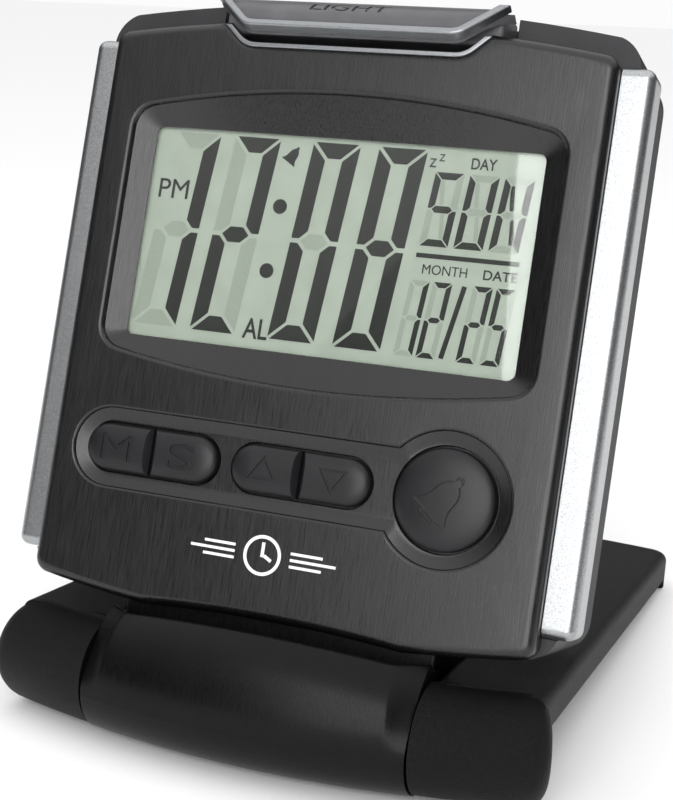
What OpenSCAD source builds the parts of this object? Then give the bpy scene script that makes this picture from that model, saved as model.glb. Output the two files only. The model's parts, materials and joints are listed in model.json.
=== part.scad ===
// Folding travel alarm clock. Millimetres, +Z up. The origin is on the table top, under the middle of
// the clock. The case leans back over a cover that has been folded round underneath it as a stand.

/* [Case] */
// How far the case leans back on its stand, degrees
lean = 17.5; // [10:0.5:25]
// Width of the front panel
panel_w = 66.6; // [62:0.2:68]
// Top of the front panel above the middle of the display
panel_up = 28.3; // [28:0.1:29]
// Bottom of the front panel below the middle of the display
panel_down = 48.2; // [47:0.1:48.4]
// Radius of the arched top and bottom edges
arch_r = 210; // [180:5:260]
// How far the front panel stands proud of the middle frame
panel_t = 3.7; // [3:0.1:4]
// Width of the middle frame and rear case
frame_w = 70.8; // [70:0.2:72]
// Top of the middle frame above the middle of the display
frame_up = 31.4; // [31:0.1:32]
// Depth of the middle frame
frame_t = 8.3; // [8:0.1:9]
// Depth of the whole case from the panel face to the back
case_depth = 22; // [21.5:0.1:24]
// Wall thickness of the moulded shells
wall = 1.6; // [1.2:0.1:2]

/* [Display] */
// Width of the display window
window_w = 52; // [48:0.5:54]
// Height of the display window
window_h = 27.6; // [26:0.2:28]
// Depth of the frame sunk round the window
recess_t = 1.2; // [0.8:0.1:1.4]

/* [Keys] */
// Height of the four small keys
key_h = 6; // [5.5:0.1:6.4]
// Length of one pair of small keys
key_pair_w = 18.4; // [17:0.2:19]
// Diameter of the round alarm key
alarm_key_d = 12.5; // [11:0.1:13]
// How far each key goes in
key_travel = 0.7; // [0.4:0.1:0.7]
// How far the light bar goes down
bar_travel = 0.8; // [0.4:0.1:0.8]
// Gap round each key
key_gap = 0.2; // [0.15:0.05:0.3]

/* [Cover and hinge] */
// Radius of the rounded hinge roll
roll_r = 6.75; // [6.5:0.05:6.9]
// Width of the cover
cover_w = 70.4; // [69.6:0.1:70.8]
// Length of the cover from the hinge line to its far edge
cover_len = 88.8; // [88:0.1:89.6]
// Thickness of the cover plate
cover_t = 2; // [1.6:0.1:2]
// Depth of the cover's side walls from its outer face
skirt_d = 4.6; // [4:0.1:4.8]
// Depth of the lip on the far edge, from the outer face
lip_d = 5.6; // [5.2:0.1:5.8]
// Half width of the chin between the two cover knuckles
chin_half = 21.2; // [20.5:0.1:21.4]
// Plan radius of the bowed hinge roll
bow_r = 99; // [90:1:120]
// Diameter of the hinge pin
pin_d = 3; // [2.5:0.1:3.2]

/* [Hidden] */
$fn = 96;
// Height of the display centre above the hinge line, and the panel face in front of it
display_z = 56.6;
face_y = -3.75;
// Depths of the middle frame's face and of the back, from the hinge line
frame_y = face_y + panel_t;
back_y = face_y + case_depth;
// Lowest point of the frame and rear case above the hinge line, and the rise towards the back
foot_z = 9.7;
foot_rise = 2.6;
// Back face of the neck between the chin and the case
neck_back = 6.4;
// The middle of the hinge roll runs this far in front of the hinge line
roll_front = 3.85;
// The outer ends of the bowed roll run this far behind the hinge line
roll_end = bow_r - sqrt(bow_r * bow_r - cover_w * cover_w / 4) - roll_front;
// The plate's face lies a hair below the crown of the knuckles
sink = 0.06;
// Arched far edge of the cover, and the notch in it that goes round the light bar
cover_arch = 180;
notch_half = 21;
notch_y = display_z + 24;
lip_y = cover_len - cover_arch + sqrt(cover_arch * cover_arch - notch_half * notch_half);
// The cover slopes down to its lip, so that the lip and the knuckles both stand on the table
cover_slope = asin((2 * roll_r - lip_d) / (lip_y - roll_end));
hinge_z = roll_r + roll_end * sin(cover_slope);
// The hinge line lies in front of the middle of the whole clock
hinge_y = (roll_front + roll_r - lip_y * cos(cover_slope) - (roll_r - sink) * sin(cover_slope)) / 2;
// Side walls and lip of the cover
skirt_t = 1.45;
lip_t = 2.4;
// The lip is made this much too deep and then cut level, so that it has a flat foot
foot_spare = 0.55;
// Keys: middles of the two pairs and of the round key, from the display centre
pair_x = [-19, 1.4];
pair_z = -28.5;
alarm_x = 20;
alarm_z = -28.8;
pair_gap = 0.3;
key_front = 0.3;
key_back = 4.6;
// Light bar: half widths of its front edge and of its top, and its heights above the display centre
bar_front_half = 14.2;
bar_top_half = 19.2;
bar_low = 26;
bar_high = 30.4;
// Side strips: inner face, width, depth of their front behind the panel face, thickness and height
strip_in = 33.4;
strip_w = 4;
strip_y = 2.2;
strip_t = 4.8;
strip_z = -42.9;
strip_len = 67.9;
// The chin's rim is arched: its height above the hinge line, and the radius of the arch
rim_z = 10.1;
rim_arch = 139;
// Two AAA cells lie across the lower half of the case
cell_d = 10.5;
cell_len = 44.5;
cell_z = [-20.5, -31.2];
cell_y = back_y - wall - 0.5 - cell_d / 2;
bay_w = 52;
bay_top = -13.5;
bay_bottom = -38.2;
door_w = 50;
sounder_z = 6;
sounder_d = 20;
screw_x = 29;
screw_z = [27, -40.6];
board_screw_z = [18, -34];
// Face of the circuit board and its thickness
board_face = 7.6;
board_t = 1.2;

// The upright case, its hinge line on the X axis, is leaned back over the stand
module in_case() {
    translate([0, hinge_y, hinge_z]) rotate([-lean, 0, 0]) children();
}

// The same, measured from the middle of the display, with Y = 0 on the panel face and +Y inwards
module from_display() {
    in_case() translate([0, face_y, display_z]) children();
}

// The flat cover, its outer face up, turned down to its lip
module in_cover() {
    translate([0, hinge_y, hinge_z]) rotate([-cover_slope, 0, 0]) children();
}

// Extrudes an X-Z outline from depth y0 to depth y1
module slab(y0, y1) {
    translate([0, y1, 0]) rotate([90, 0, 0]) linear_extrude(y1 - y0) children();
}

// Rectangle with rounded corners, between two heights
module round_rect(w, z0, z1, r) {
    translate([-w / 2 + r, z0]) square([w - 2 * r, z1 - z0]);
    translate([-w / 2, z0 + r]) square([w, z1 - z0 - 2 * r]);
    for (x = [-w / 2 + r, w / 2 - r], z = [z0 + r, z1 - r]) translate([x, z]) circle(r);
}

// Drop of the arched edge at a distance from the middle
function arch_drop(x) = arch_r - sqrt(arch_r * arch_r - x * x);

// Outline with arched top and bottom; up and down are measured from the display centre
module arched(w, up, down, r) {
    // the corner arcs start a hair outside the arch, so that the two cross cleanly
    edge = arch_drop(w / 2 - r) - 0.05;
    intersection() {
        union() {
            round_rect(w, -down + edge, up - edge, r);
            translate([-w / 2 + r, -down]) square([w - 2 * r, up + down]);
        }
        translate([0, up - arch_r]) circle(arch_r, $fn = 360);
        translate([0, arch_r - down]) circle(arch_r, $fn = 360);
    }
}

// Pill outline with its middle at a point
module pill(x, z, w, h) {
    translate([x, z]) square([w - h, h], center = true);
    for (s = [-1, 1]) translate([x + s * (w - h) / 2, z]) circle(h / 2);
}

// Front view of the light bar's opening in the panel, with a margin round the bar at its lowest
module bar_outline(m) {
    low = bar_low - bar_travel;
    high = bar_high - bar_travel;
    polygon([[-bar_front_half - m, low - m], [bar_front_half + m, low - m],
        [bar_top_half + 1.5 * m, high], [bar_top_half + 1.5 * m, high + 8],
        [-bar_top_half - 1.5 * m, high + 8], [-bar_top_half - 1.5 * m, high]]);
}

// Sunk channel that holds the keys
module key_channel(m) {
    pill(-4.9, pair_z, 50 + 2 * m, 8.2 + 2 * m);
    translate([alarm_x, alarm_z]) circle(7.3 + m);
}

// Height of the underside of the frame and rear case, at a distance behind the hinge line
function foot_at(y) = foot_z + foot_rise * (y - frame_y) / (back_y - frame_y);

// Back of the case rises towards the rear, clear of the cover that lies behind it
module foot_cut() {
    translate([-50, frame_y, 0]) rotate([90, 0, 90]) linear_extrude(100)
        polygon([[-2, -5], [40, -5], [40, foot_z + foot_rise * 40 / (back_y - frame_y)], [0, foot_z],
            [-2, foot_z]]);
}

module front_panel() color("#3b3b3d") from_display() difference() {
    union() {
        slab(0, panel_t) arched(panel_w, panel_up, panel_down, 2);
        // bosses that carry the circuit board
        for (x = [-screw_x, screw_x], z = board_screw_z) translate([x, 1, z])
            rotate([-90, 0, 0]) cylinder(h = board_face - 1, d = 4.2);
    }
    // hollow back
    slab(2, panel_t + 1) difference() {
        arched(panel_w - 2 * wall, 24.2, panel_down - 3.4, 1);
        for (x = [-screw_x, screw_x], z = board_screw_z) translate([x, z]) circle(2.1);
    }
    for (x = [-screw_x, screw_x], z = board_screw_z) translate([x, panel_t - 0.5, z])
        rotate([-90, 0, 0]) cylinder(h = 9, d = 2.1);
    slab(-1, recess_t) arched(window_w + 4, window_h / 2 + 3.4, window_h / 2 + 3.4, 2.5);
    slab(-1, 3) round_rect(window_w, -window_h / 2, window_h / 2, 1);
    slab(-1, 0.9) key_channel(0);
    for (x = pair_x) slab(-1, 3) pill(x, pair_z, key_pair_w + 2 * key_gap, key_h + 2 * key_gap);
    slab(-1, 3) translate([alarm_x, alarm_z]) circle(alarm_key_d / 2 + key_gap);
    slab(-1, panel_t + 1) bar_outline(0.2);
    // arched notch over the chin
    slab(-1, panel_t + 1) intersection() {
        translate([-chin_half - 0.4, -panel_down - 2]) square([2 * chin_half + 0.8, 6]);
        translate([0, -panel_down + 1.4 - arch_r]) circle(arch_r, $fn = 360);
    }
}

module display_window() color([0.8, 0.85, 0.84, 0.5]) from_display()
    slab(2, 2.8) round_rect(window_w + 3, -window_h / 2 - 1.2, window_h / 2 + 1.2, 1);

module lcd_glass() color("#b9c1b4") from_display()
    slab(2.9, 4.9) round_rect(57, -16.4, 15.6, 0.5);

module light_guide() color("#e8ecea") from_display()
    slab(4.95, 6.8) round_rect(54, -13.6, 15, 0.5);

module backlight_leds() color("#f2e6a0") from_display()
    for (x = [-28.4, 28.4]) translate([x, 6, 0]) cube([1.8, 1.4, 3.2], center = true);

module contact_strip() color("#7c3f4a") from_display()
    slab(4.9, board_face) translate([-25, -16.2]) square([50, 2]);

module circuit_board() color("#2d5b3a") from_display() difference() {
    slab(board_face, board_face + board_t) round_rect(61, -36.4, 23.4, 1.5);
    for (x = [-screw_x, screw_x], z = board_screw_z) translate([x, 0, z]) rotate([-90, 0, 0])
        cylinder(h = 30, d = 2.4);
}

module clock_chip() color("#111111") from_display() difference() {
    translate([0, board_face + board_t, 4]) rotate([-90, 0, 0]) cylinder(h = 1.4, d = 12);
    translate([0, board_face + board_t, 4]) rotate([-90, 0, 0]) difference() {
        translate([0, 0, 0.8]) cylinder(h = 1, d = 14);
        translate([0, 0, 0.7]) cylinder(h = 2, d = 9);
    }
}

module quartz_crystal() color("silver") from_display()
    translate([14, 9.8, -4]) cylinder(h = 6, d = 2);

module light_switch() color("#222222") from_display() {
    translate([-3, 4.4, 19.2]) cube([6, 3.2, 4.2]);
    translate([0, 6, 23.4]) cylinder(h = 0.7, d = 2.4);
}

module key_mat() color("#56595c") from_display() {
    dome = key_back + key_travel + 0.1;
    slab(6.2, board_face) round_rect(53, -34.5, -21.5, 2);
    for (x = [pair_x[0] - 4.7, pair_x[0] + 4.7, pair_x[1] - 4.7, pair_x[1] + 4.7])
        translate([x, dome, pair_z]) rotate([-90, 0, 0]) cylinder(h = 0.9, d = 3.4);
    translate([alarm_x, dome, alarm_z]) rotate([-90, 0, 0]) cylinder(h = 0.9, d = 5);
}

// One half of a pill-shaped pair: side is -1 for the left half, 1 for the right half
module half_key(x, side) color("#37373a") from_display() {
    intersection() {
        slab(-key_front, 3) pill(x, pair_z, key_pair_w, key_h);
        translate([side > 0 ? x + pair_gap / 2 : x - 20 - pair_gap / 2, -5, pair_z - 10])
            cube([20, 20, 20]);
    }
    // flange behind the panel and the stem over its contact
    intersection() {
        slab(2.9, 3.7) pill(x, pair_z, key_pair_w + 1.4, key_h + 1.4);
        translate([side > 0 ? x + pair_gap / 2 : x - 20 - pair_gap / 2, -5, pair_z - 10])
            cube([20, 20, 20]);
    }
    translate([x + side * 4.7, 3.6, pair_z]) rotate([-90, 0, 0]) cylinder(h = key_back - 3.6, d = 3);
}

module mode_key() half_key(pair_x[0], -1);
module set_key() half_key(pair_x[0], 1);
module up_key() half_key(pair_x[1], -1);
module down_key() half_key(pair_x[1], 1);

module alarm_key() color("#37373a") from_display() translate([alarm_x, 0, alarm_z]) rotate([-90, 0, 0]) {
    translate([0, 0, -key_front]) cylinder(h = 3.3, d = alarm_key_d);
    translate([0, 0, 2.9]) cylinder(h = 0.8, d = alarm_key_d + 1.4);
    translate([0, 0, 3.6]) cylinder(h = key_back - 3.6, d = 4.4);
}

// The bar: a snout with a sloping top in front, and a flat body that runs back into the frame
module light_bar() color("#4a4a4c") from_display() {
    hull() {
        translate([-bar_front_half + 0.6, -2.6, bar_low]) cube([2 * bar_front_half - 1.2, 0.4, 1]);
        translate([-bar_top_half + 0.6, 1.2, bar_high]) cube([2 * bar_top_half - 1.2, 7, 0.9]);
        translate([-bar_front_half + 0.6, 0.5, bar_low]) cube([2 * bar_front_half - 1.2, 7.7, 1]);
    }
    translate([-2, 5, 25]) cube([4, 2, 1.5]);
}

// Bright rim round the front of the bar's top
module light_bar_rim() color("silver") from_display() difference() {
    hull() {
        translate([-bar_front_half, -3, bar_low + 0.1]) cube([2 * bar_front_half, 0.3, 0.9]);
        translate([-bar_top_half, 0.8, bar_high - 0.2]) cube([2 * bar_top_half, 0.3, 0.9]);
    }
    hull() {
        translate([-bar_front_half + 0.6, -2.6, bar_low]) cube([2 * bar_front_half - 1.2, 0.4, 1]);
        translate([-bar_top_half + 0.6, 1.2, bar_high]) cube([2 * bar_top_half - 1.2, 7, 0.9]);
        translate([-bar_front_half + 0.6, 0.5, bar_low]) cube([2 * bar_front_half - 1.2, 7.7, 1]);
    }
    hull() {
        translate([-bar_front_half + 1, -4, bar_low + 1]) cube([2 * bar_front_half - 2, 2, 3]);
        translate([-bar_top_half + 1, 0, bar_high + 0.7]) cube([2 * bar_top_half - 2, 3, 3]);
    }
}

// Thin bright line round the bar's opening in the panel
module panel_trim() color("silver") from_display() slab(-0.3, 0) intersection() {
    difference() {
        bar_outline(0.85);
        bar_outline(0.2);
    }
    arched(panel_w - 1, panel_up - 0.6, panel_down, 1);
    translate([-18, 20]) square([36, 7.2]);
}

module middle_frame() color("#58585b") difference() {
    from_display() difference() {
        slab(panel_t, panel_t + frame_t) arched(frame_w, frame_up, panel_down, 4.5);
        slab(panel_t - 1, panel_t + frame_t + 1) arched(panel_w - 4, 26.8, 39, 2);
        // seats of the side strips
        for (s = [-1, 1]) slab(panel_t - 1, strip_y + strip_t + 0.05)
            translate([s * (strip_in + 4.95) - 5, strip_z - 0.1]) square([10, strip_len + 0.2]);
        // slot for the light bar
        translate([-bar_top_half - 0.5, panel_t - 1, bar_low - 1.2])
            cube([2 * bar_top_half + 1, 6.1, 12]);
        for (x = [-screw_x, screw_x], z = screw_z) translate([x, panel_t + 2, z]) rotate([-90, 0, 0])
            cylinder(h = 30, d = 2.4);
    }
    in_case() foot_cut();
}

// Section of a side strip, its outer front edge rounded
module strip_section(r) {
    translate([strip_in, strip_y]) square([strip_w - r, strip_t]);
    translate([strip_in, strip_y + r]) square([strip_w, strip_t - r]);
    translate([strip_in + strip_w - r, strip_y + r]) circle(r);
}

module side_strip() from_display()
    translate([0, 0, strip_z]) linear_extrude(strip_len) strip_section(1.2);

module side_strip_right() color("#c9cacc") side_strip();
module side_strip_left() color("#c9cacc") mirror([1, 0, 0]) side_strip();

module rear_case() color("#2b2b2d") difference() {
    from_display() {
        difference() {
            slab(panel_t + frame_t, case_depth) arched(frame_w, frame_up - 0.4, panel_down, 4.5);
            difference() {
                slab(panel_t + frame_t - 1, case_depth - wall)
                    arched(frame_w - 2 * wall, frame_up - 0.4 - wall, 39, 3);
                // screw bosses
                for (x = [-screw_x, screw_x], z = screw_z) translate([x, 0, z]) rotate([-90, 0, 0])
                    cylinder(h = 30, d = 5);
            }
            for (x = [-screw_x, screw_x], z = screw_z) translate([x, 0, z]) rotate([-90, 0, 0]) {
                cylinder(h = 30, d = 2.4);
                translate([0, 0, case_depth - 1]) cylinder(h = 2, d = 4.4);
            }
            // opening over the cells, with a rebate for the door
            translate([-bay_w / 2 + wall, 0, bay_bottom + wall])
                cube([bay_w - 2 * wall, 30, bay_top - bay_bottom - 2 * wall]);
            translate([-door_w / 2 - 0.2, case_depth - wall, bay_bottom + 0.4])
                cube([door_w + 0.4, 5, bay_top - bay_bottom - 0.8]);
            // sound holes
            for (a = [0:60:300]) translate([4 * cos(a), 0, sounder_z + 4 * sin(a)])
                rotate([-90, 0, 0]) cylinder(h = 30, d = 1.8);
            translate([0, 0, sounder_z]) rotate([-90, 0, 0]) cylinder(h = 30, d = 1.8);
        }
        // tray for the cells
        difference() {
            translate([-bay_w / 2, panel_t + frame_t, bay_bottom])
                cube([bay_w, case_depth - wall - panel_t - frame_t, bay_top - bay_bottom]);
            translate([-bay_w / 2 + wall, -1, bay_bottom + wall])
                cube([bay_w - 2 * wall, 30, bay_top - bay_bottom - 2 * wall]);
            translate([-door_w / 2 - 0.2, case_depth - wall, bay_bottom + 0.4])
                cube([door_w + 0.4, 5, bay_top - bay_bottom - 0.8]);
        }
    }
    in_case() foot_cut();
}

module sounder() color("#c9a24a") from_display() translate([0, case_depth - wall - 1.2, sounder_z])
    rotate([-90, 0, 0]) cylinder(h = 1.2, d = sounder_d);

module battery_door() color("#2b2b2d") from_display() {
    translate([-door_w / 2, case_depth - wall + 0.05, bay_bottom + 0.6])
        cube([door_w, wall - 0.05, bay_top - bay_bottom - 1.2]);
}

module cell(z) from_display() translate([-cell_len / 2 + 0.5, cell_y - face_y, z]) rotate([0, 90, 0]) {
    cylinder(h = cell_len - 1, d = cell_d);
    translate([0, 0, cell_len - 1]) cylinder(h = 1, d = 3.8);
}

module upper_cell() color("#8a9097") cell(cell_z[0]);
module lower_cell() color("#8a9097") mirror([1, 0, 0]) cell(cell_z[1]);

// Spring contacts at the flat end of each cell, as short tapering coils
module battery_springs() color("silver") from_display() for (s = [-1, 1])
    translate([s * (cell_len / 2 - 0.5), cell_y - face_y, s < 0 ? cell_z[0] : cell_z[1]])
        rotate([0, s * 90, 0]) difference() {
            cylinder(h = bay_w / 2 - wall - cell_len / 2 + 0.5, d = 6);
            translate([0, 0, -1]) cylinder(h = 8, d = 4.4);
        }

module battery_contacts() color("silver") from_display() for (s = [-1, 1])
    translate([s * (bay_w / 2 - wall - 0.2), cell_y - face_y, s > 0 ? cell_z[0] : cell_z[1]])
        cube([0.4, 7, 7], center = true);

module screw(length, head_d, shank_d) rotate([-90, 0, 0]) difference() {
    union() {
        translate([0, 0, -length]) cylinder(h = length, d = shank_d);
        cylinder(h = 0.9, d = head_d);
    }
    for (a = [0, 90]) rotate([0, 0, a]) translate([-1.2, -0.25, 0.4]) cube([2.4, 0.5, 1]);
}

module case_screws() color("#3c3c3e") from_display()
    for (x = [-screw_x, screw_x], z = screw_z)
        translate([x, case_depth - 1, z]) screw(14, 4, 2.4);

module board_screws() color("silver") from_display()
    for (x = [-screw_x, screw_x], z = board_screw_z)
        translate([x, board_face + board_t, z]) screw(3.2, 4, 2);

// Section of the chin, drawn with the hinge line at the origin: the roll and the wall that rises from it
module chin_section() {
    translate([-roll_front, 0]) circle(roll_r);
    polygon([[-roll_front - roll_r, 0], [-10.2, 2.9], [-9.3, 5.4], [-7.6, 7.7], [-5.6, 9.3],
        [-3.9, rim_z], [-3, rim_z - 0.2], [-2.7, 7.4], [-1, 6.8], [2.2, 0]]);
}

// Turns a section about the upright axis of the bow, between two planes
module bowed(half, y0) {
    reach = 2 * asin((half + 4) / bow_r);
    translate([0, bow_r - y0, 0]) rotate([0, 0, 270 - reach / 2])
        rotate_extrude(angle = reach, $fn = 180) translate([bow_r - y0, 0]) mirror([1, 0]) children();
}

module chin() color("#333335") translate([0, hinge_y, hinge_z]) difference() {
    union() {
        intersection() {
            bowed(chin_half, roll_front) chin_section();
            translate([-chin_half, -20, -20]) cube([2 * chin_half, 60, 40]);
            translate([0, 30, rim_z + 0.1 - rim_arch]) rotate([90, 0, 0])
                cylinder(h = 60, r = rim_arch, $fn = 360);
        }
        // neck up to the sloping underside of the case, behind the front panel
        rotate([-lean, 0, 0]) translate([0.4 - chin_half, 0, 0]) rotate([90, 0, 90])
            linear_extrude(2 * chin_half - 0.8)
                polygon([[0, 3], [neck_back, 3], [neck_back, foot_at(neck_back)], [0, foot_at(0)]]);
    }
    // front corners turned back towards the knuckles
    for (s = [0, 1]) mirror([s, 0, 0]) translate([17, -roll_front - roll_r - 0.2, 0]) rotate([0, 0, 36])
        rotate([-24, 0, 0]) translate([0, -10, 0]) cube([20, 10, 20]);
    rotate([0, 90, 0]) cylinder(h = 80, d = pin_d, center = true);
}

module hinge_pin() color("silver") translate([0, hinge_y, hinge_z]) rotate([0, 90, 0])
    cylinder(h = 62, d = pin_d, center = true);

// Plan outline of the cover plate, the hinge line along X
module cover_plan(m) {
    r = 3.5;
    translate([-cover_w / 2 + m, 0]) square([cover_w - 2 * m, cover_len - r - 5]);
    intersection() {
        translate([0, cover_len - cover_arch - m]) circle(cover_arch, $fn = 180);
        union() {
            translate([-cover_w / 2 + m + r, 0]) square([cover_w - 2 * m - 2 * r, cover_len]);
            for (s = [-1, 1]) translate([s * (cover_w / 2 - m - r), cover_len - 3 - m - r]) circle(r);
            translate([-cover_w / 2 + m, 0]) square([cover_w - 2 * m, cover_len - 3 - m - r]);
        }
    }
}

module knuckle() intersection() {
    bowed(cover_w / 2, roll_front) translate([-roll_front, 0]) circle(roll_r);
    translate([chin_half + 0.3, -30, -20]) cube([cover_w / 2 - chin_half - 0.3, 80, 40]);
}

module cover_plate() difference() {
    union() {
        translate([0, 0, roll_r - skirt_d]) linear_extrude(skirt_d - sink) cover_plan(0);
        translate([0, 0, roll_r - lip_d - foot_spare]) linear_extrude(lip_d + foot_spare - sink)
            intersection() {
                cover_plan(0);
                translate([-50, cover_len - 6]) square([100, 10]);
            }
        for (s = [0, 1]) mirror([s, 0, 0]) knuckle();
    }
    // hollow inside, its floor under the plate
    translate([0, 0, roll_r - lip_d - 1]) linear_extrude(lip_d - cover_t + 1) intersection() {
        cover_plan(skirt_t);
        translate([0, skirt_t - lip_t]) cover_plan(skirt_t);
        translate([-50, roll_r + 2.15]) square([100, 100]);
    }
    // opening round the chin
    translate([-chin_half - 0.3, -20, -10]) cube([2 * chin_half + 0.6, 30.2, 30]);
    // notch round the light bar
    translate([-notch_half, notch_y, -10]) cube([2 * notch_half, 20, 30]);
    rotate([0, 90, 0]) cylinder(h = 62.4, d = pin_d + 0.1, center = true);
}

module cover() color("#1f1f21") difference() {
    in_cover() cover_plate();
    // level foot under the lip
    translate([-50, 0, -10]) cube([100, 100, 10]);
}

front_panel();
display_window();
lcd_glass();
light_guide();
backlight_leds();
contact_strip();
circuit_board();
clock_chip();
quartz_crystal();
light_switch();
key_mat();
mode_key();
set_key();
up_key();
down_key();
alarm_key();
light_bar();
light_bar_rim();
panel_trim();
middle_frame();
side_strip_left();
side_strip_right();
rear_case();
sounder();
battery_door();
upper_cell();
lower_cell();
battery_springs();
battery_contacts();
case_screws();
board_screws();
chin();
hinge_pin();
cover();
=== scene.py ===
import json
from math import acos, asin, atan2, cos, degrees, pi, radians, sin, sqrt, tan

import bmesh
import bpy
from mathutils import Matrix, Vector


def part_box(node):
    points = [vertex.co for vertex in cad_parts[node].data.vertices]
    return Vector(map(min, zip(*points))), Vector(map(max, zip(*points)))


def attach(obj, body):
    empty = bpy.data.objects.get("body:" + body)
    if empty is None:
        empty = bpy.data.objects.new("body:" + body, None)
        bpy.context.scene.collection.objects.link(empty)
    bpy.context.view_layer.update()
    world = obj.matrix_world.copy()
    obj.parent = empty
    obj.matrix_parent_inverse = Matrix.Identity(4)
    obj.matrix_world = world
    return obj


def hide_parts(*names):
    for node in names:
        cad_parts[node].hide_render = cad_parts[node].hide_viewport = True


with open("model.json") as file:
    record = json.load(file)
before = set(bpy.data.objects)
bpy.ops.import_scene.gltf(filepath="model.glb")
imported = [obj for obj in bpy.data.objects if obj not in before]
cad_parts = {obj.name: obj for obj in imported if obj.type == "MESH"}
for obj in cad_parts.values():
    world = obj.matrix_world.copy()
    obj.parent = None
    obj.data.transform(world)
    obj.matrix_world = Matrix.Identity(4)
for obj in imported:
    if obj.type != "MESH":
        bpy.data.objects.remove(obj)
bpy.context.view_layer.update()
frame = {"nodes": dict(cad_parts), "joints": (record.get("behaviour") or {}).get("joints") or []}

# ---- Front panel -------------------------------------------------------------------------------
# The clock's face: an injection-moulded ABS shell with a dished frame round the display and a sunk
# channel for the keys. It is glued to the middle frame, and the light bar comes through its top.

# Pieces are modelled in millimetres, X to the right, Y into the case and Z up its face. The case
# leans back: its keys press straight in, so their axis gives the lean, and the window pane gives
# the middle of the display.
joints = {joint["name"]: joint for joint in frame["joints"]}
inward = Vector(joints["mode_key_press"]["axis"])
lean = atan2(-inward.z, inward.y)
pane_low, pane_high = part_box("display_window")
pane_depth = 2.4
display = (pane_low + pane_high) / 2 - inward * pane_depth / 1000
millimetre = Matrix.Scale(0.001, 4)
case_place = Matrix.Translation(display) @ Matrix.Rotation(-lean, 4, "X") @ millimetre


def arc(x, z, radius, start, end, steps=8):
    """Points along an arc from one angle to another, in degrees, with both ends."""
    turns = [radians(start + (end - start) * i / steps) for i in range(steps + 1)]
    return [(x + radius * cos(t), z + radius * sin(t)) for t in turns]


def both_halves(right):
    """Closes a right-hand outline, drawn from its foot to its top, with its mirror image."""
    return right + [(-x, z) for x, z in reversed(right) if x > 1e-6]


def ring(bm, outline, depth):
    """A closed loop of edges along an outline, at one depth."""
    corners = [bm.verts.new((x, depth, z)) for x, z in outline]
    return [bm.edges.new(pair) for pair in zip(corners, corners[1:] + corners[:1])]


def walls(bm, outline, profile):
    """Walls that follow outline(offset) through (offset, depth) steps. Gives the end rings."""
    rings = [ring(bm, outline(offset), depth) for offset, depth in profile]
    for near, far in zip(rings, rings[1:]):
        bmesh.ops.bridge_loops(bm, edges=near + far)
    return rings[0], rings[-1]


def flat(bm, *rings):
    """A flat face inside the first ring, open inside the others."""
    bmesh.ops.triangle_fill(bm, use_beauty=True, edges=[e for loop in rings for e in loop])


def rounded(radius, steps=5):
    """(offset, depth) steps round an outer edge, from the face to the wall."""
    turns = [pi / 2 * i / steps for i in range(steps + 1)]
    return [(radius * (sin(t) - 1), radius * (1 - cos(t))) for t in turns]


def opening(radius, steps=4):
    """(offset, depth) steps round the rim of an opening, from the face to the wall."""
    return [(-offset, depth) for offset, depth in rounded(radius, steps)]


def arched(half, up, down, corner, arch_up, arch_down):
    """Outline with arched top and bottom, as a function of its outward offset."""

    def outline(offset):
        right = []
        for side, reach, arch in ((-1, down, arch_down), (1, up, arch_up)):
            centre = side * (reach - arch)
            corner_z = centre + side * sqrt((arch - corner) ** 2 - (half - corner) ** 2)
            turn = degrees(atan2(abs(corner_z - centre), half - corner))
            crown = arc(0, centre, arch + offset, side * 90, side * turn, 14)
            bend = arc(half - corner, corner_z, corner + offset, side * turn, 0, 6)
            right += crown + bend if side < 0 else (crown + bend)[::-1]
        return both_halves([(max(x, 0), z) for x, z in right])

    return outline


def pill(x, z, width, height):
    """Outline with half-round ends, as a function of its outward offset."""
    reach = (width - height) / 2

    def outline(offset):
        radius = height / 2 + offset
        return arc(x - reach, z, radius, 90, 270, 16) + arc(x + reach, z, radius, -90, 90, 16)

    return outline


def circle(x, z, radius):
    return lambda offset: arc(x, z, radius + offset, 0, 354, 59)


notch_foot = 25
notch_half = 14.4
notch_rise = radians(42)
notch_bend = 3
arch = 210


def notch_side(offset):
    """Right-hand bend of the notch for the light bar, from its slanting side to its foot."""
    x = notch_half + notch_bend / tan(notch_rise) - notch_bend / sin(notch_rise)
    rise = degrees(notch_rise)
    return arc(x, notch_foot + notch_bend, notch_bend - offset, rise - 90, -90, 6)


def panel_outline(offset):
    half, up, down, corner = 33.3, 28.3, 48.2, 2
    chin_notch, chin_reach = 1.4, 17.15
    corner_x = half - corner
    drop = sqrt((arch - corner) ** 2 - corner_x**2)
    turn = degrees(atan2(drop, corner_x))
    swing = degrees(asin(chin_reach / arch))
    right = arc(0, chin_notch - down - arch, arch - offset, 90, 90 - swing, 12)
    right += arc(0, arch - down, arch + offset, swing - 90, -turn, 6)[1:]
    right += arc(corner_x, arch - down - drop, corner + offset, -turn, 0, 6)[1:]
    right += arc(corner_x, up - arch + drop, corner + offset, 0, turn, 6)
    side_x = notch_half + 2
    for _ in range(4):
        side_z = up - arch + sqrt((arch + offset) ** 2 - side_x**2)
        side_x = notch_half + (side_z - notch_foot) / tan(notch_rise) - offset / sin(notch_rise)
    right += arc(0, up - arch, arch + offset, turn, degrees(acos(side_x / (arch + offset))), 6)[1:]
    right += notch_side(offset) + [(0, notch_foot + offset)]
    return both_halves([(max(x, 0), z) for x, z in right])


def channel_outline(offset):
    """Pill and circle run together: the channel that the keys sit in."""
    radius, end_x, mid_z = 5 + offset, -24.9, -28.5
    round_x, round_z, round_radius = 20, -28.8, 8.2 + offset
    above = degrees(asin((mid_z + radius - round_z) / round_radius))
    below = degrees(asin((round_z - mid_z + radius) / round_radius))
    return arc(end_x, mid_z, radius, 90, 270, 16) + arc(
        round_x, round_z, round_radius, below - 180, 180 - above, 40
    )


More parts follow.
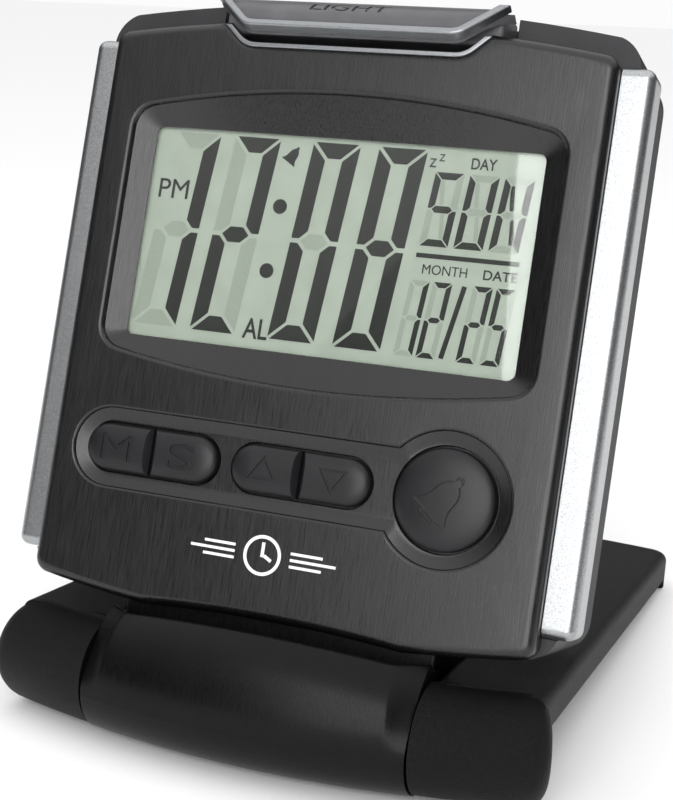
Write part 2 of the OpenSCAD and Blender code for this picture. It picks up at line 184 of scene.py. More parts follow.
def finish_mesh(bm, place):
    """Turns a finished bmesh in millimetres into a smooth-shaded mesh at its place."""
    bmesh.ops.remove_doubles(bm, verts=bm.verts, dist=0.0005)
    bmesh.ops.recalc_face_normals(bm, faces=bm.faces)
    bmesh.ops.transform(bm, matrix=place, verts=bm.verts)
    for face in bm.faces:
        face.smooth = True
    mesh = bpy.data.meshes.new("piece")
    bm.to_mesh(mesh)
    bm.free()
    mesh.set_sharp_from_angle(angle=radians(32))
    return mesh


def add_piece(name, bm, place, body, slot, material, *nodes):
    """Adds a piece to the clock: it rides on a body, and may stand for CAD nodes."""
    piece = bpy.data.objects.new(name, finish_mesh(bm, place))
    bpy.context.scene.collection.objects.link(piece)
    piece.data.materials.append(material)
    weighted = piece.modifiers.new("Weighted normals", "WEIGHTED_NORMAL")
    weighted.keep_sharp = True
    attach(piece, body)
    if nodes:
        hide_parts(*nodes)
    return piece


def srgb(code):
    """A hex colour as the linear colour that the shaders take."""
    parts = [int(code[i : i + 2], 16) / 255 for i in (1, 3, 5)]
    return (*[p / 12.92 if p <= 0.04045 else ((p + 0.055) / 1.055) ** 2.4 for p in parts], 1)


def add_node(tree, kind, inputs=None, **settings):
    """Adds a shader node. An input is a value, or another node's output to link."""
    node = tree.nodes.new(kind)
    for name, value in settings.items():
        setattr(node, name, value)
    for name, value in (inputs or {}).items():
        if isinstance(value, bpy.types.NodeSocket):
            tree.links.new(value, node.inputs[name])
        else:
            node.inputs[name].default_value = value
    return node


def new_material(name):
    """A material with its shader and an output, ready for patterns."""
    material = bpy.data.materials.new(name)
    material.use_nodes = True
    tree = material.node_tree
    return material, tree, tree.nodes["Principled BSDF"]


def pattern_space(tree, size_mm, turn=lean):
    """Object coordinates along a frame of the clock, one unit to each size in millimetres."""
    place = add_node(tree, "ShaderNodeTexCoord")
    return add_node(
        tree,
        "ShaderNodeMapping",
        {
            "Vector": place.outputs["Object"],
            "Rotation": (-turn, 0, 0),
            "Scale": [size / 1000 for size in size_mm],
        },
        vector_type="TEXTURE",
    ).outputs["Vector"]


def moulded_abs(name, low, high, rough, grain_mm, relief_mm, strength=0.6, wear=0.08, gleam=0.3):
    """Injection-moulded ABS: a fine tool texture, and a slow drift in colour and gloss."""
    material, tree, shader = new_material(name)
    drift = add_node(
        tree, "ShaderNodeTexNoise", {"Vector": pattern_space(tree, (14, 14, 22)), "Detail": 3.0}
    )
    grain = add_node(
        tree, "ShaderNodeTexNoise", {"Vector": pattern_space(tree, grain_mm), "Detail": 2.0}
    )
    mixed = add_node(
        tree,
        "ShaderNodeMath",
        {0: grain.outputs["Fac"], 1: 0.55, 2: drift.outputs["Fac"]},
        operation="MULTIPLY_ADD",
    )
    tone = add_node(tree, "ShaderNodeMapRange", {"Value": mixed.outputs[0], 1: 0.5, 2: 1.05})
    colour = add_node(
        tree,
        "ShaderNodeMix",
        {"Factor": tone.outputs[0], 6: srgb(low), 7: srgb(high)},
        data_type="RGBA",
    )
    tree.links.new(colour.outputs[2], shader.inputs["Base Color"])
    gloss = add_node(
        tree,
        "ShaderNodeMapRange",
        {"Value": grain.outputs["Fac"], 1: 0.3, 2: 0.7, 3: rough - wear, 4: rough + wear},
    )
    tree.links.new(gloss.outputs[0], shader.inputs["Roughness"])
    bump = add_node(
        tree,
        "ShaderNodeBump",
        {"Height": grain.outputs["Fac"], "Distance": relief_mm / 1000, "Strength": strength},
    )
    tree.links.new(bump.outputs["Normal"], shader.inputs["Normal"])
    shader.inputs["IOR"].default_value = 1.54
    shader.inputs["Specular IOR Level"].default_value = gleam
    return material


# Satin charcoal ABS. The tool was drawn lengthways, which leaves faint upright lines in the sheen.
panel_abs = moulded_abs(
    "satin charcoal ABS, upright tool lines", "#090909", "#0e0e0f", 0.3, (0.3, 0.6, 16), 0.012,
    gleam=0.5,
)

recess = arched(28.6, 18.9, 17.9, 3, 124, 150)
window = arched(26, 13.8, 13.8, 1, 4000, 4000)
hollow = arched(31.7, 24.2, 44.8, 1, arch, arch)
key_holes = [pill(x, -28.5, 18.8, 6.4) for x in (-19, 1.4)] + [circle(20, -28.8, 6.45)]
panel_depth, floor_depth, back_depth = 3.7, 1.0, 2.0
bm = bmesh.new()
face_ring, foot_ring = walls(bm, panel_outline, rounded(1.3, 6) + [(0, panel_depth)])
dish_top, dish_edge = walls(bm, recess, opening(0.7, 5))
window_edge, window_back = walls(bm, window, [(0, back_depth - 0.1), (0, back_depth)])
bmesh.ops.bridge_loops(bm, edges=dish_edge + window_edge)
channel_top, channel_floor = walls(
    bm, channel_outline, opening(0.45, 4) + [(-1.1, 0.85), (-1.35, 0.97), (-1.6, floor_depth)]
)
hole_tops, hole_backs = [], []
for hole in key_holes:
    top, back = walls(bm, hole, [(0.12, floor_depth), (0, floor_depth + 0.12), (0, back_depth)])
    hole_tops.append(top)
    hole_backs.append(back)
hollow_top, hollow_foot = walls(bm, hollow, [(0, back_depth), (0, panel_depth)])
flat(bm, face_ring, dish_top, channel_top)
flat(bm, channel_floor, *hole_tops)
flat(bm, hollow_top, window_back, *hole_backs)
flat(bm, foot_ring, hollow_foot)
add_piece(
    "front_panel_moulding", bm, case_place, "case", "charcoal_abs", panel_abs, "front_panel"
)

# ---- Printed emblem ----------------------------------------------------------------------------
# A small pad-printed sign under the keys: a plain clock dial between two bars, in white ink that
# lies a few hundredths of a millimetre proud of the panel.
ink, tree, shader = new_material("white pad-printing ink")
speckle = add_node(
    tree, "ShaderNodeTexNoise", {"Vector": pattern_space(tree, (0.3, 0.3, 0.3)), "Detail": 2.0}
)
shade = add_node(
    tree,
    "ShaderNodeMix",
    {"Factor": speckle.outputs["Fac"], 6: srgb("#d9dad8"), 7: srgb("#f4f4f2")},
    data_type="RGBA",
)
tree.links.new(shade.outputs[2], shader.inputs["Base Color"])
shader.inputs["Roughness"].default_value = 0.55


def slab(bm, outline, near, far):
    """A closed plate between two depths."""
    near_ring, far_ring = walls(bm, lambda offset: outline, [(0, near), (0, far)])
    flat(bm, near_ring)
    flat(bm, far_ring)


def hoop(bm, outline, width, near, far):
    """A closed band of one width inside an outline, between two depths."""
    outer = walls(bm, outline, [(0, near), (0, far)])
    inner = walls(bm, outline, [(-width, near), (-width, far)])
    flat(bm, outer[0], inner[0])
    flat(bm, outer[1], inner[1])


def stroke(x0, z0, x1, z1, width):
    """Outline of a straight bar from one point to another."""
    along = Vector((x1 - x0, z1 - z0)).normalized() * width / 2
    side = Vector((-along.y, along.x))
    start, end = Vector((x0, z0)), Vector((x1, z1))
    return [tuple(p) for p in (start - side, end - side, end + side, start + side)]


ink_depth = -0.03
sign_x, sign_z, dial = -1.7, -38.9, 2.5
bm = bmesh.new()
hoop(bm, circle(sign_x, sign_z, dial), 0.42, ink_depth, 0.02)
slab(bm, stroke(sign_x, sign_z - 0.2, sign_x, sign_z + 1.6, 0.42), ink_depth, 0.02)
slab(bm, stroke(sign_x + 0.25, sign_z, sign_x + 1.25, sign_z - 0.55, 0.42), ink_depth, 0.02)
for side in (-1, 1):
    start = sign_x + side * (dial + 1.2)
    for row, length in ((-0.8, 4.2), (0, 6), (0.8, 4.2)):
        bar = stroke(start, sign_z + row, start + side * length, sign_z + row, 0.34)
        slab(bm, bar, ink_depth, 0.02)
add_piece("panel_emblem", bm, case_place, "case", "charcoal_abs", ink)

# ---- Display window ----------------------------------------------------------------------------
# A flat pane of clear acrylic, 0.8 mm thick, welded behind the panel. It is cut from cast sheet,
# so its faces are optically smooth; light passes through it to the display.
pane, tree, shader = new_material("clear cast acrylic sheet")
shader.inputs["Base Color"].default_value = srgb("#f4f8f5")
shader.inputs["Transmission Weight"].default_value = 1.0
shader.inputs["IOR"].default_value = 1.49
haze = add_node(
    tree, "ShaderNodeTexNoise", {"Vector": pattern_space(tree, (9, 9, 9)), "Detail": 2.0}
)
wipe = add_node(
    tree, "ShaderNodeMapRange", {"Value": haze.outputs["Fac"], 3: 0.012, 4: 0.03}
)
tree.links.new(wipe.outputs[0], shader.inputs["Roughness"])
rays = add_node(tree, "ShaderNodeLightPath")
open_air = add_node(tree, "ShaderNodeBsdfTransparent", {"Color": srgb("#f4f8f5")})
through = add_node(
    tree,
    "ShaderNodeMixShader",
    {0: rays.outputs["Is Shadow Ray"], 1: shader.outputs[0], 2: open_air.outputs[0]},
)
tree.links.new(through.outputs[0], tree.nodes["Material Output"].inputs["Surface"])


def paint(node, material):
    """Gives a CAD node its finish."""
    frame["nodes"][node].data.materials.clear()
    frame["nodes"][node].data.materials.append(material)


paint("display_window", pane)

# ---- Liquid crystal display --------------------------------------------------------------------
# Two sheets of glass with polarisers, grey-green and slightly mottled. Segments that are on show
# near black; those that are off can still be made out as faint shadows.
lcd, tree, shader = new_material("grey-green LCD polariser")
cloud = add_node(
    tree, "ShaderNodeTexNoise", {"Vector": pattern_space(tree, (20, 20, 20)), "Detail": 2.0}
)
fine = add_node(
    tree, "ShaderNodeTexNoise", {"Vector": pattern_space(tree, (0.25, 0.25, 0.25)), "Detail": 1.0}
)
blend = add_node(
    tree,
    "ShaderNodeMath",
    {0: fine.outputs["Fac"], 1: 0.25, 2: cloud.outputs["Fac"]},
    operation="MULTIPLY_ADD",
)
shade = add_node(
    tree,
    "ShaderNodeMix",
    {"Factor": blend.outputs[0], 6: srgb("#848880"), 7: srgb("#969a92")},
    data_type="RGBA",
)
tree.links.new(shade.outputs[2], shader.inputs["Base Color"])
shader.inputs["Roughness"].default_value = 0.45
shader.inputs["Specular IOR Level"].default_value = 0.25
paint("lcd_glass", lcd)


def crystal(name, low, high):
    """The liquid crystal of a segment: flat, and a little uneven in density."""
    material, tree, shader = new_material(name)
    density = add_node(
        tree, "ShaderNodeTexNoise", {"Vector": pattern_space(tree, (1.2, 1.2, 1.2)), "Detail": 1.0}
    )
    shade = add_node(
        tree,
        "ShaderNodeMix",
        {"Factor": density.outputs["Fac"], 6: srgb(low), 7: srgb(high)},
        data_type="RGBA",
    )
    tree.links.new(shade.outputs[2], shader.inputs["Base Color"])
    shader.inputs["Roughness"].default_value = 0.5
    shader.inputs["Specular IOR Level"].default_value = 0.2
    return material


segment_on = crystal("dark liquid crystal", "#100f0d", "#171614")
segment_off = crystal("resting liquid crystal", "#7b7f77", "#898d85")
SEVEN = {"0": "abcdef", "1": "bc", "2": "abdeg", "5": "acdfg", "8": "abcdefg"}
STARBURST = {"S": "afgjcd", "U": "bcdef", "N": "bcefhm"}
italic = tan(radians(5.4))


def segment_outlines(width, height, thick, gap, split):
    """Outlines of a digit's segments, a to g, or with a split middle and diagonals for letters."""
    mid, half, inner = height / 2, thick / 2, thick + gap
    shapes = {
        "a": [(gap, height), (width - gap, height), (width - inner, height - thick),
              (inner, height - thick)],
        "f": [(0, height - gap), (thick, height - inner), (thick, mid + half + gap),
              (half, mid + gap), (0, mid + gap)],
        "g": [(half + gap, mid), (inner, mid + half), (width - inner, mid + half),
              (width - half - gap, mid), (width - inner, mid - half), (inner, mid - half)],
    }
    if split:
        centre = width / 2
        shapes["g"] = [(half + gap, mid), (inner, mid + half), (centre, mid + half),
                       (centre, mid - half), (inner, mid - half)]
        shapes["j"] = [(width - x, z) for x, z in shapes["g"]]
        shapes["h"] = [(inner, height - inner), (inner + half, height - inner),
                       (centre, mid + inner), (centre, mid + half + gap),
                       (centre - half, mid + half + gap), (inner, height - inner - thick)]
        shapes["m"] = [(width - x, height - z) for x, z in shapes["h"]]
    shapes["d"] = [(x, height - z) for x, z in shapes["a"]]
    shapes["e"] = [(x, height - z) for x, z in shapes["f"]]
    shapes["b"] = [(width - x, z) for x, z in shapes["f"]]
    shapes["c"] = [(width - x, height - z) for x, z in shapes["f"]]
    return shapes


segment_front, segment_back = 2.85, 2.9
on, off = bmesh.new(), bmesh.new()


def show(sign, lit, x, z, width, height, thick, gap, hidden="", split=False):
    """Draws one digit or letter: lit segments dark, the rest but the hidden ones faint."""
    for name, outline in segment_outlines(width, height, thick, gap, split).items():
        slanted = [(x + px + pz * italic, z + pz) for px, pz in outline]
        if name in lit[sign]:
            slab(on, slanted, segment_front, segment_back)
        elif name not in hidden:
            slab(off, slanted, segment_front + 0.02, segment_back)


# The glass sits a little to the left of the window's middle, and a touch high.
shift_x, shift_z = -0.65, 0.3
for sign, x, hidden in (("1", -25.2, "f"), ("2", -16.8, ""), ("0", -5.95, ""), ("8", 2.85, "")):
    show(sign, SEVEN, x, -12.4, 6.3, 25.4, 2.0, 0.3, hidden)
for i, sign in enumerate("SUN"):
    show(sign, STARBURST, 12.1 + 4.42 * i, 1.2, 3.7, 9.2, 0.86, 0.12, split=True)
for sign, x in (("1", 10.9), ("2", 13.8), ("2", 18.9), ("5", 21.85)):
    show(sign, SEVEN, x, -12.5, 2.45, 9.4, 0.66, 0.12)
slab(on, stroke(17.0, -12.3, 18.7, -3.3, 0.62), segment_front, segment_back)
slab(on, stroke(12, 0, 25, 0, 0.57), segment_front, segment_back)
for x, z in ((-6.9, 4.4), (-7.4, -3.9)):
    slab(on, circle(x, z, 0.95)(0), segment_front, segment_back)


def lettering(text, width, height, near, far):
    """Plain sans-serif lettering as a closed plate, centred, upright and facing forwards."""
    curve = bpy.data.curves.new(text, "FONT")
    curve.body = text
    curve.offset = 0 if "M" in text else 0.012
    curve.extrude = 0.5
    holder = bpy.data.objects.new(text, curve)
    mesh = bpy.data.meshes.new_from_object(holder)
    bm = bmesh.new()
    bm.from_mesh(mesh)
    bpy.data.objects.remove(holder)
    bpy.data.meshes.remove(mesh)
    bmesh.ops.remove_doubles(bm, verts=bm.verts, dist=1e-5)
    low = Vector([min(v.co[i] for v in bm.verts) for i in range(3)])
    size = Vector([max(v.co[i] for v in bm.verts) for i in range(3)]) - low
    bmesh.ops.translate(bm, verts=bm.verts, vec=-low - size / 2)
    bmesh.ops.scale(bm, verts=bm.verts, vec=(width / size.x, height / size.y, (far - near) / size.z))
    bmesh.ops.rotate(bm, verts=bm.verts, matrix=Matrix.Rotation(pi / 2, 3, "X"))
    bmesh.ops.translate(bm, verts=bm.verts, vec=(0, (near + far) / 2, 0))
    return bm


def take_in(bm, part, move=Matrix.Identity(4)):
    """Adds one bmesh to another."""
    bmesh.ops.transform(part, matrix=move, verts=part.verts)
    mesh = bpy.data.meshes.new("part")
    part.to_mesh(mesh)
    part.free()
    bm.from_mesh(mesh)
    bpy.data.meshes.remove(mesh)


for text, x, z, width, height in (
    ("PM", -22.1, 5.5, 4.2, 2.5), ("AL", -7.7, -11.4, 3.4, 2.6), ("DAY", 18.9, 11.75, 3.2, 1.4),
    ("MONTH", 15.9, -1.65, 5.7, 1.2), ("DATE", 22.9, -1.65, 4.2, 1.2), ("Z", 12.4, 11.5, 0.9, 1.1),
    ("Z", 13.5, 12.2, 0.75, 0.9),
):
    words = lettering(text, width, height, segment_front, segment_back)
    take_in(on, words, Matrix.Translation((x, 0, z)))


def bell(size, tilt, x, z):
    """Outline of a hand bell, crown up, turned and placed, as a function of its offset."""
    body = []
    for i in range(13):
        fall = i / 12
        shoulder = 0.27 * sqrt(1 - (1 - min(fall / 0.5, 1)) ** 2)
        body.append((shoulder + 0.2 * max(fall - 0.5, 0) ** 2 * 4, 0.42 - 0.84 * fall))
    crown = arc(0, 0.46, 0.09, 90, -35, 5)
    half = [(px, pz) for px, pz in crown if px > 1e-6] + [p for p in body if p[0] > 0.07]
    turn = Matrix.Rotation(-tilt, 2)

    def outline(offset):
        grow = 1 + offset / (0.3 * size)
        points = both_halves([(0, -0.42), *reversed(half), (0, 0.55)])
        spots = [turn @ Vector((px * size * grow, pz * size * grow)) for px, pz in points]
        return [(x + p.x, z + p.y) for p in spots]

    return outline


slab(on, bell(2.4, radians(32), -6.2, 11.0)(0), segment_front, segment_back)
for shapes in (on, off):
    bmesh.ops.translate(shapes, verts=shapes.verts, vec=(shift_x, 0, shift_z))
add_piece("lcd_segments_on", on, case_place, "case", "lcd", segment_on)
add_piece("lcd_segments_off", off, case_place, "case", "lcd", segment_off)

# ---- Keys --------------------------------------------------------------------------------------
# Four small keys in two pill-shaped pairs and a round alarm key, moulded in the panel's charcoal
# ABS. Each has a crowned top with its sign cut into it and a flange that keeps it in the panel.
key_abs = moulded_abs(
    "satin charcoal ABS, fine spark texture", "#131315", "#1b1b1e", 0.36, (0.22, 0.22, 0.22), 0.012
)


def carve(bm, cutter):
    """Cuts one closed shape out of another."""
    parts = []
    for shape in (bm, cutter):
        bmesh.ops.remove_doubles(shape, verts=shape.verts, dist=0.0005)
        bmesh.ops.recalc_face_normals(shape, faces=shape.faces)
        mesh = bpy.data.meshes.new("part")
        shape.to_mesh(mesh)
        shape.free()
        parts.append(bpy.data.objects.new("part", mesh))
        bpy.context.scene.collection.objects.link(parts[-1])
    difference = parts[0].modifiers.new("Cut", "BOOLEAN")
    difference.object = parts[1]
    difference.solver = "EXACT"
    difference.use_self = True
    graph = bpy.context.evaluated_depsgraph_get()
    result = bmesh.new()
    result.from_mesh(parts[0].evaluated_get(graph).to_mesh())
    for part in parts:
        bpy.data.objects.remove(part)
    return result


def cut_off(bm, point, direction):
    """Cuts away what lies on one side of a plane, and closes the cut."""
    geometry = bm.verts[:] + bm.edges[:] + bm.faces[:]
    bmesh.ops.bisect_plane(bm, geom=geometry, plane_co=point, plane_no=direction, clear_outer=True)
    bmesh.ops.holes_fill(bm, edges=[edge for edge in bm.edges if edge.is_boundary])


def key_blank(outline, radius, crown, edge_depth=0.75, square=2.6):
    """A key before its sign is cut: crown, wall and the flange behind the panel."""
    steps = [radius * (1 - cos(pi / 2 * i / 11)) for i in range(1, 11)] + [radius - 0.06]
    dome = [
        (-s, edge_depth - crown * (1 - (1 - s / radius) ** square) ** (1 / square)) for s in steps
    ]
    bm = bmesh.new()
    profile = [(0.7, 3.7), (0.7, 2.9), (0, 2.9), (0, edge_depth), *dome]
    back, top = walls(bm, outline, profile)
    flat(bm, back)
    flat(bm, top)
    return bm


pair_width, pair_height, pair_gap, groove_base = 18.4, 6, 0.15, 0.6
row_z, sign_shift = -28.5, 4.6
sign_top, sign_floor = -2, -0.06
signs = {}
for name, text in (("mode_key", "M"), ("set_key", "S")):
    signs[name] = lettering(text, 4.4 if text == "M" else 3.6, 3.3, sign_top, sign_floor)
for name, side in (("up_key", 1), ("down_key", -1)):
    signs[name] = bmesh.new()

    def triangle(offset, side=side):
        return [(r * 1.12, side * z) for r, z in arc(0, -0.25, 2.05 + 2 * offset, 90, 330, 2)]

    hoop(signs[name], triangle, 0.34, sign_top, sign_floor)
for pair, middle in ((("mode_key", "set_key"), -19), (("up_key", "down_key"), 1.4)):
    for name, side in zip(pair, (-1, 1)):
        bm = key_blank(pill(middle, row_z, pair_width, pair_height), pair_height / 2, 1.05)
        edge = Vector((middle + side * pair_gap, 0, 0))
        cut_off(bm, edge, (-side, 0, 0))
        cut_off(bm, edge + Vector((0, groove_base, 0)), Vector((-side, -0.75, 0)).normalized())
        sign = signs[name]
        bmesh.ops.translate(sign, verts=sign.verts, vec=(middle + side * sign_shift, 0, row_z))
        bm = carve(bm, sign)
        add_piece(name + "_cap", bm, case_place, name, "key_abs", key_abs, name)

bm = key_blank(circle(20, -28.8, 6.25), 6.25, 1.15, 0.85, 2.2)
sign = bmesh.new()
hoop(sign, bell(6.3, radians(38), 20.1, -28.7), 0.27, sign_top, 0.0)
take_in(sign, lettering("O", 2.9, 0.75, sign_top, 0.0),
        Matrix.Translation((18.3, 0, -31.0)) @ Matrix.Rotation(radians(38), 4, "Y"))
bm = carve(bm, sign)
add_piece("alarm_key_cap", bm, case_place, "alarm_key", "key_abs", key_abs, "alarm_key")

# ---- Light bar ---------------------------------------------------------------------------------
# The long key on top that lights the display: grey ABS with a sloping, crowned top, moulded with
# its word cut in, and a bright plated bezel pressed round its front edge.
bar_abs = moulded_abs(
    "satin grey ABS, fine spark texture", "#505052", "#5d5d60", 0.4, (0.2, 0.2, 0.2), 0.01
)
bar_tilt = radians(27.6)
bar_place = case_place @ Matrix.Translation((0, -2.5, 26.5)) @ Matrix.Rotation(-bar_tilt, 4, "X")
bar_rise = radians(43.5)
bar_bend = 2.6
bar_half = 14.0
bar_top = 5.3
crest_start, crest_fall = 2, 1.7


def bar_bend_side(offset):
    x = bar_half + bar_bend / tan(bar_rise) - bar_bend / sin(bar_rise)
    turn = degrees(bar_rise) - 90
    return arc(x, bar_bend, bar_bend + offset, -90, turn, 6)


def bar_outline(offset):
    side_x = bar_half + bar_top / tan(bar_rise) + offset / sin(bar_rise)
    return both_halves([(0, -offset), *bar_bend_side(offset), (side_x, bar_top), (0, bar_top)])


def band(bm, path, inner, outer, near, far, soft):
    """An open band between two offsets of a mirrored path, with its front edges rounded."""
    loops = []
    for offset in (outer, inner):
        right = path(offset)
        loops.append([(-x, z) for x, z in reversed(right)] + right)
    face_ring = ring(bm, loops[0] + loops[1][::-1], near)
    face = bmesh.ops.edgeloop_fill(bm, edges=face_ring)["faces"][0]
    moved = bmesh.ops.extrude_face_region(bm, geom=[face], use_keep_orig=True)["geom"]
    corners = [item for item in moved if isinstance(item, bmesh.types.BMVert)]
    bmesh.ops.translate(bm, verts=corners, vec=(0, far - near, 0))
    bmesh.ops.bevel(
        bm, geom=list(face.edges), offset=soft, segments=4, profile=0.5, affect="EDGES",
        material=-1, clamp_overlap=True,
    )


bm = bmesh.new()
crown_steps = [(-0.7 - 1.7 * i / 6, 0.12 - 0.42 * sin(pi / 2 * i / 6)) for i in range(7)]
foot, crown = walls(bm, bar_outline, [(0, 1.7), (0, 0.15), *crown_steps])
flat(bm, foot)
flat(bm, crown)
for height in (2.4, 2.9, 3.4, 3.8, 4.2, 4.6, 5.0):
    geometry = bm.verts[:] + bm.edges[:] + bm.faces[:]
    bmesh.ops.bisect_plane(bm, geom=geometry, plane_co=(0, 0, height), plane_no=(0, 0, 1))
word = lettering("LIGHT", 10.4, 1.9, -2, -0.1)
bmesh.ops.translate(word, verts=word.verts, vec=(-0.8, 0, 3.6))
bm = carve(bm, word)
for vert in bm.verts:
    vert.co.y += crest_fall * (max(vert.co.z - crest_start, 0) / (bar_top - crest_start)) ** 2
add_piece("light_bar_cap", bm, bar_place, "light_bar", "key_abs", bar_abs, "light_bar")

# The stem under the cap, which slides in the frame's slot and presses the switch.
stem_size = (36.8, 6.6, 4.6)
stem_middle = (0, 4.9, 28.75)
bm = bmesh.new()
bmesh.ops.create_cube(bm, size=1)
bmesh.ops.scale(bm, verts=bm.verts, vec=stem_size)
bmesh.ops.translate(bm, verts=bm.verts, vec=stem_middle)
bmesh.ops.bevel(
    bm, geom=bm.edges[:], offset=0.5, segments=4, profile=0.5, affect="EDGES", material=-1
)
add_piece("light_bar_body", bm, case_place, "light_bar", "key_abs", bar_abs)


# Bright plating over ABS: mirror-like, with a faint ripple from the moulding under it.
def bright_plate(name, low, high, rough):
    material, tree, shader = new_material(name)
    shader.inputs["Metallic"].default_value = 1.0
    ripple = add_node(
        tree, "ShaderNodeTexNoise", {"Vector": pattern_space(tree, (1.5, 1.5, 1.5)), "Detail": 2.0}
    )
    shade = add_node(
        tree,
        "ShaderNodeMix",
        {"Factor": ripple.outputs["Fac"], 6: srgb(low), 7: srgb(high)},
        data_type="RGBA",
    )
    tree.links.new(shade.outputs[2], shader.inputs["Base Color"])
    soft = add_node(
        tree, "ShaderNodeMapRange", {"Value": ripple.outputs["Fac"], 3: rough - 0.05, 4: rough + 0.05}
    )
    tree.links.new(soft.outputs[0], shader.inputs["Roughness"])
    bump = add_node(
        tree, "ShaderNodeBump", {"Height": ripple.outputs["Fac"], "Distance": 0.00001, "Strength": 0.3}
    )
    tree.links.new(bump.outputs["Normal"], shader.inputs["Normal"])
    return material


plating = bright_plate("satin nickel plating", "#85878a", "#9c9ea1", 0.3)

bezel_top = 4.9


def bezel_path(offset):
    side_x = bar_half + bezel_top / tan(bar_rise) + offset / sin(bar_rise)
    return [(0.5, -offset), *bar_bend_side(offset), (side_x, bezel_top)]


bm = bmesh.new()
band(bm, bezel_path, -0.75, 0.18, -0.28, 1.0, 0.25)
add_piece("light_bar_bezel", bm, bar_place, "light_bar", "bright_trim", plating, "light_bar_rim")


def trim_path(offset):
    bend = notch_side(-offset)[::-1]
    side_z = 27.1
    side_x = notch_half + (side_z - notch_foot) / tan(notch_rise) + offset / sin(notch_rise)
    return [(0.5, notch_foot - offset), *bend, (side_x, side_z)]


bm = bmesh.new()
band(bm, trim_path, 0.02, 0.7, -0.26, 0.3, 0.2)
add_piece("opening_trim", bm, case_place, "case", "bright_trim", plating, "panel_trim")

# ---- Middle frame ------------------------------------------------------------------------------
# The ring between the panel and the rear case, moulded in mid-grey ABS. The panel is glued to its
# front, the side strips clip into seats in its sides, and the rear case is screwed to it.
frame_abs = moulded_abs(
    "matt mid-grey ABS, fine spark texture", "#252527", "#2d2d2f", 0.5, (0.22, 0.22, 0.22), 0.012
)


def softened(node, radius, segments=3, sharper=30):
    """A merged copy of a CAD node, its sharp edges rounded."""
    bm = bmesh.new()
    bm.from_mesh(frame["nodes"][node].data)
    bmesh.ops.scale(bm, verts=bm.verts, vec=(1000, 1000, 1000))
    bmesh.ops.remove_doubles(bm, verts=bm.verts, dist=0.0008)
    bmesh.ops.dissolve_limit(
        bm, angle_limit=radians(0.6), verts=bm.verts, edges=bm.edges, use_dissolve_boundaries=False
    )
    edges = [
        edge for edge in bm.edges
        if len(edge.link_faces) == 2 and edge.calc_face_angle(0) > radians(sharper)
    ]
    bmesh.ops.bevel(
        bm, geom=edges, offset=radius, segments=segments, profile=0.5, affect="EDGES",
        material=-1, clamp_overlap=True,
    )
    return bm


add_piece(
    "middle_frame_ring", softened("middle_frame", 0.3), millimetre, "case", "frame_abs", frame_abs,
    "middle_frame",
)

# ---- Side strips -------------------------------------------------------------------------------
# Two trim strips that clip into the sides of the middle frame: ABS with a silver metallic lacquer,
# whose aluminium flakes give a fine sparkle. Outer edges and ends are well rounded.
lacquer, tree, shader = new_material("silver metallic lacquer on ABS")
flakes = add_node(
    tree, "ShaderNodeTexNoise", {"Vector": pattern_space(tree, (0.16, 0.16, 0.16)), "Detail": 2.0}
)
pool = add_node(
    tree, "ShaderNodeTexNoise", {"Vector": pattern_space(tree, (0.6, 0.6, 0.9)), "Detail": 2.0}
)
mixed = add_node(
    tree,
    "ShaderNodeMath",
    {0: pool.outputs["Fac"], 1: 0.5, 2: flakes.outputs["Fac"]},
    operation="MULTIPLY_ADD",
)
tone = add_node(tree, "ShaderNodeMapRange", {"Value": mixed.outputs[0], 1: 0.55, 2: 0.95})
shade = add_node(
    tree,
    "ShaderNodeMix",
    {"Factor": tone.outputs[0], 6: srgb("#77797b"), 7: srgb("#c4c6c8")},
    data_type="RGBA",
)
tree.links.new(shade.outputs[2], shader.inputs["Base Color"])
sparkle = add_node(
    tree, "ShaderNodeMapRange", {"Value": flakes.outputs["Fac"], 1: 0.3, 2: 0.7, 3: 0.22, 4: 0.4}
)
tree.links.new(sparkle.outputs[0], shader.inputs["Roughness"])
bump = add_node(
    tree, "ShaderNodeBump", {"Height": mixed.outputs[0], "Distance": 0.000008, "Strength": 0.8}
)
tree.links.new(bump.outputs["Normal"], shader.inputs["Normal"])
shader.inputs["Metallic"].default_value = 1.0
shader.inputs["Coat Weight"].default_value = 0.25
shader.inputs["Coat Roughness"].default_value = 0.15

strip_inner, strip_width, strip_front, strip_deep = 33.4, 4.0, 2.2, 4.8
strip_foot, strip_length, strip_round = -42.9, 67.9, 1.3
for name, side in (("left", -1), ("right", 1)):
    bm = bmesh.new()
    bmesh.ops.create_cube(bm, size=1)
    bmesh.ops.scale(bm, verts=bm.verts, vec=(strip_width, strip_deep, strip_length))
    middle = Vector(
        (strip_inner + strip_width / 2, strip_front + strip_deep / 2, strip_foot + strip_length / 2)
    )
    bmesh.ops.translate(bm, verts=bm.verts, vec=middle)
    outer = [
        edge for edge in bm.edges
        if any(
            all(test(v.co) for v in edge.verts)
            for test in (
                lambda c: c.x > middle.x and c.y < middle.y,
                lambda c: c.z > middle.z and c.y < middle.y,
                lambda c: c.z < middle.z and c.y < middle.y,
                lambda c: c.x > middle.x and c.z < middle.z,
                lambda c: c.x > middle.x and c.z > middle.z,
            )
        )
    ]
    bmesh.ops.bevel(
        bm, geom=outer, offset=strip_round, segments=6, profile=0.5, affect="EDGES", material=-1
    )
    if side < 0:
        bmesh.ops.scale(bm, verts=bm.verts, vec=(-1, 1, 1))
    add_piece(
        f"side_strip_{name}_trim", bm, case_place, "case", "silver_paint", lacquer,
        f"side_strip_{name}",
    )

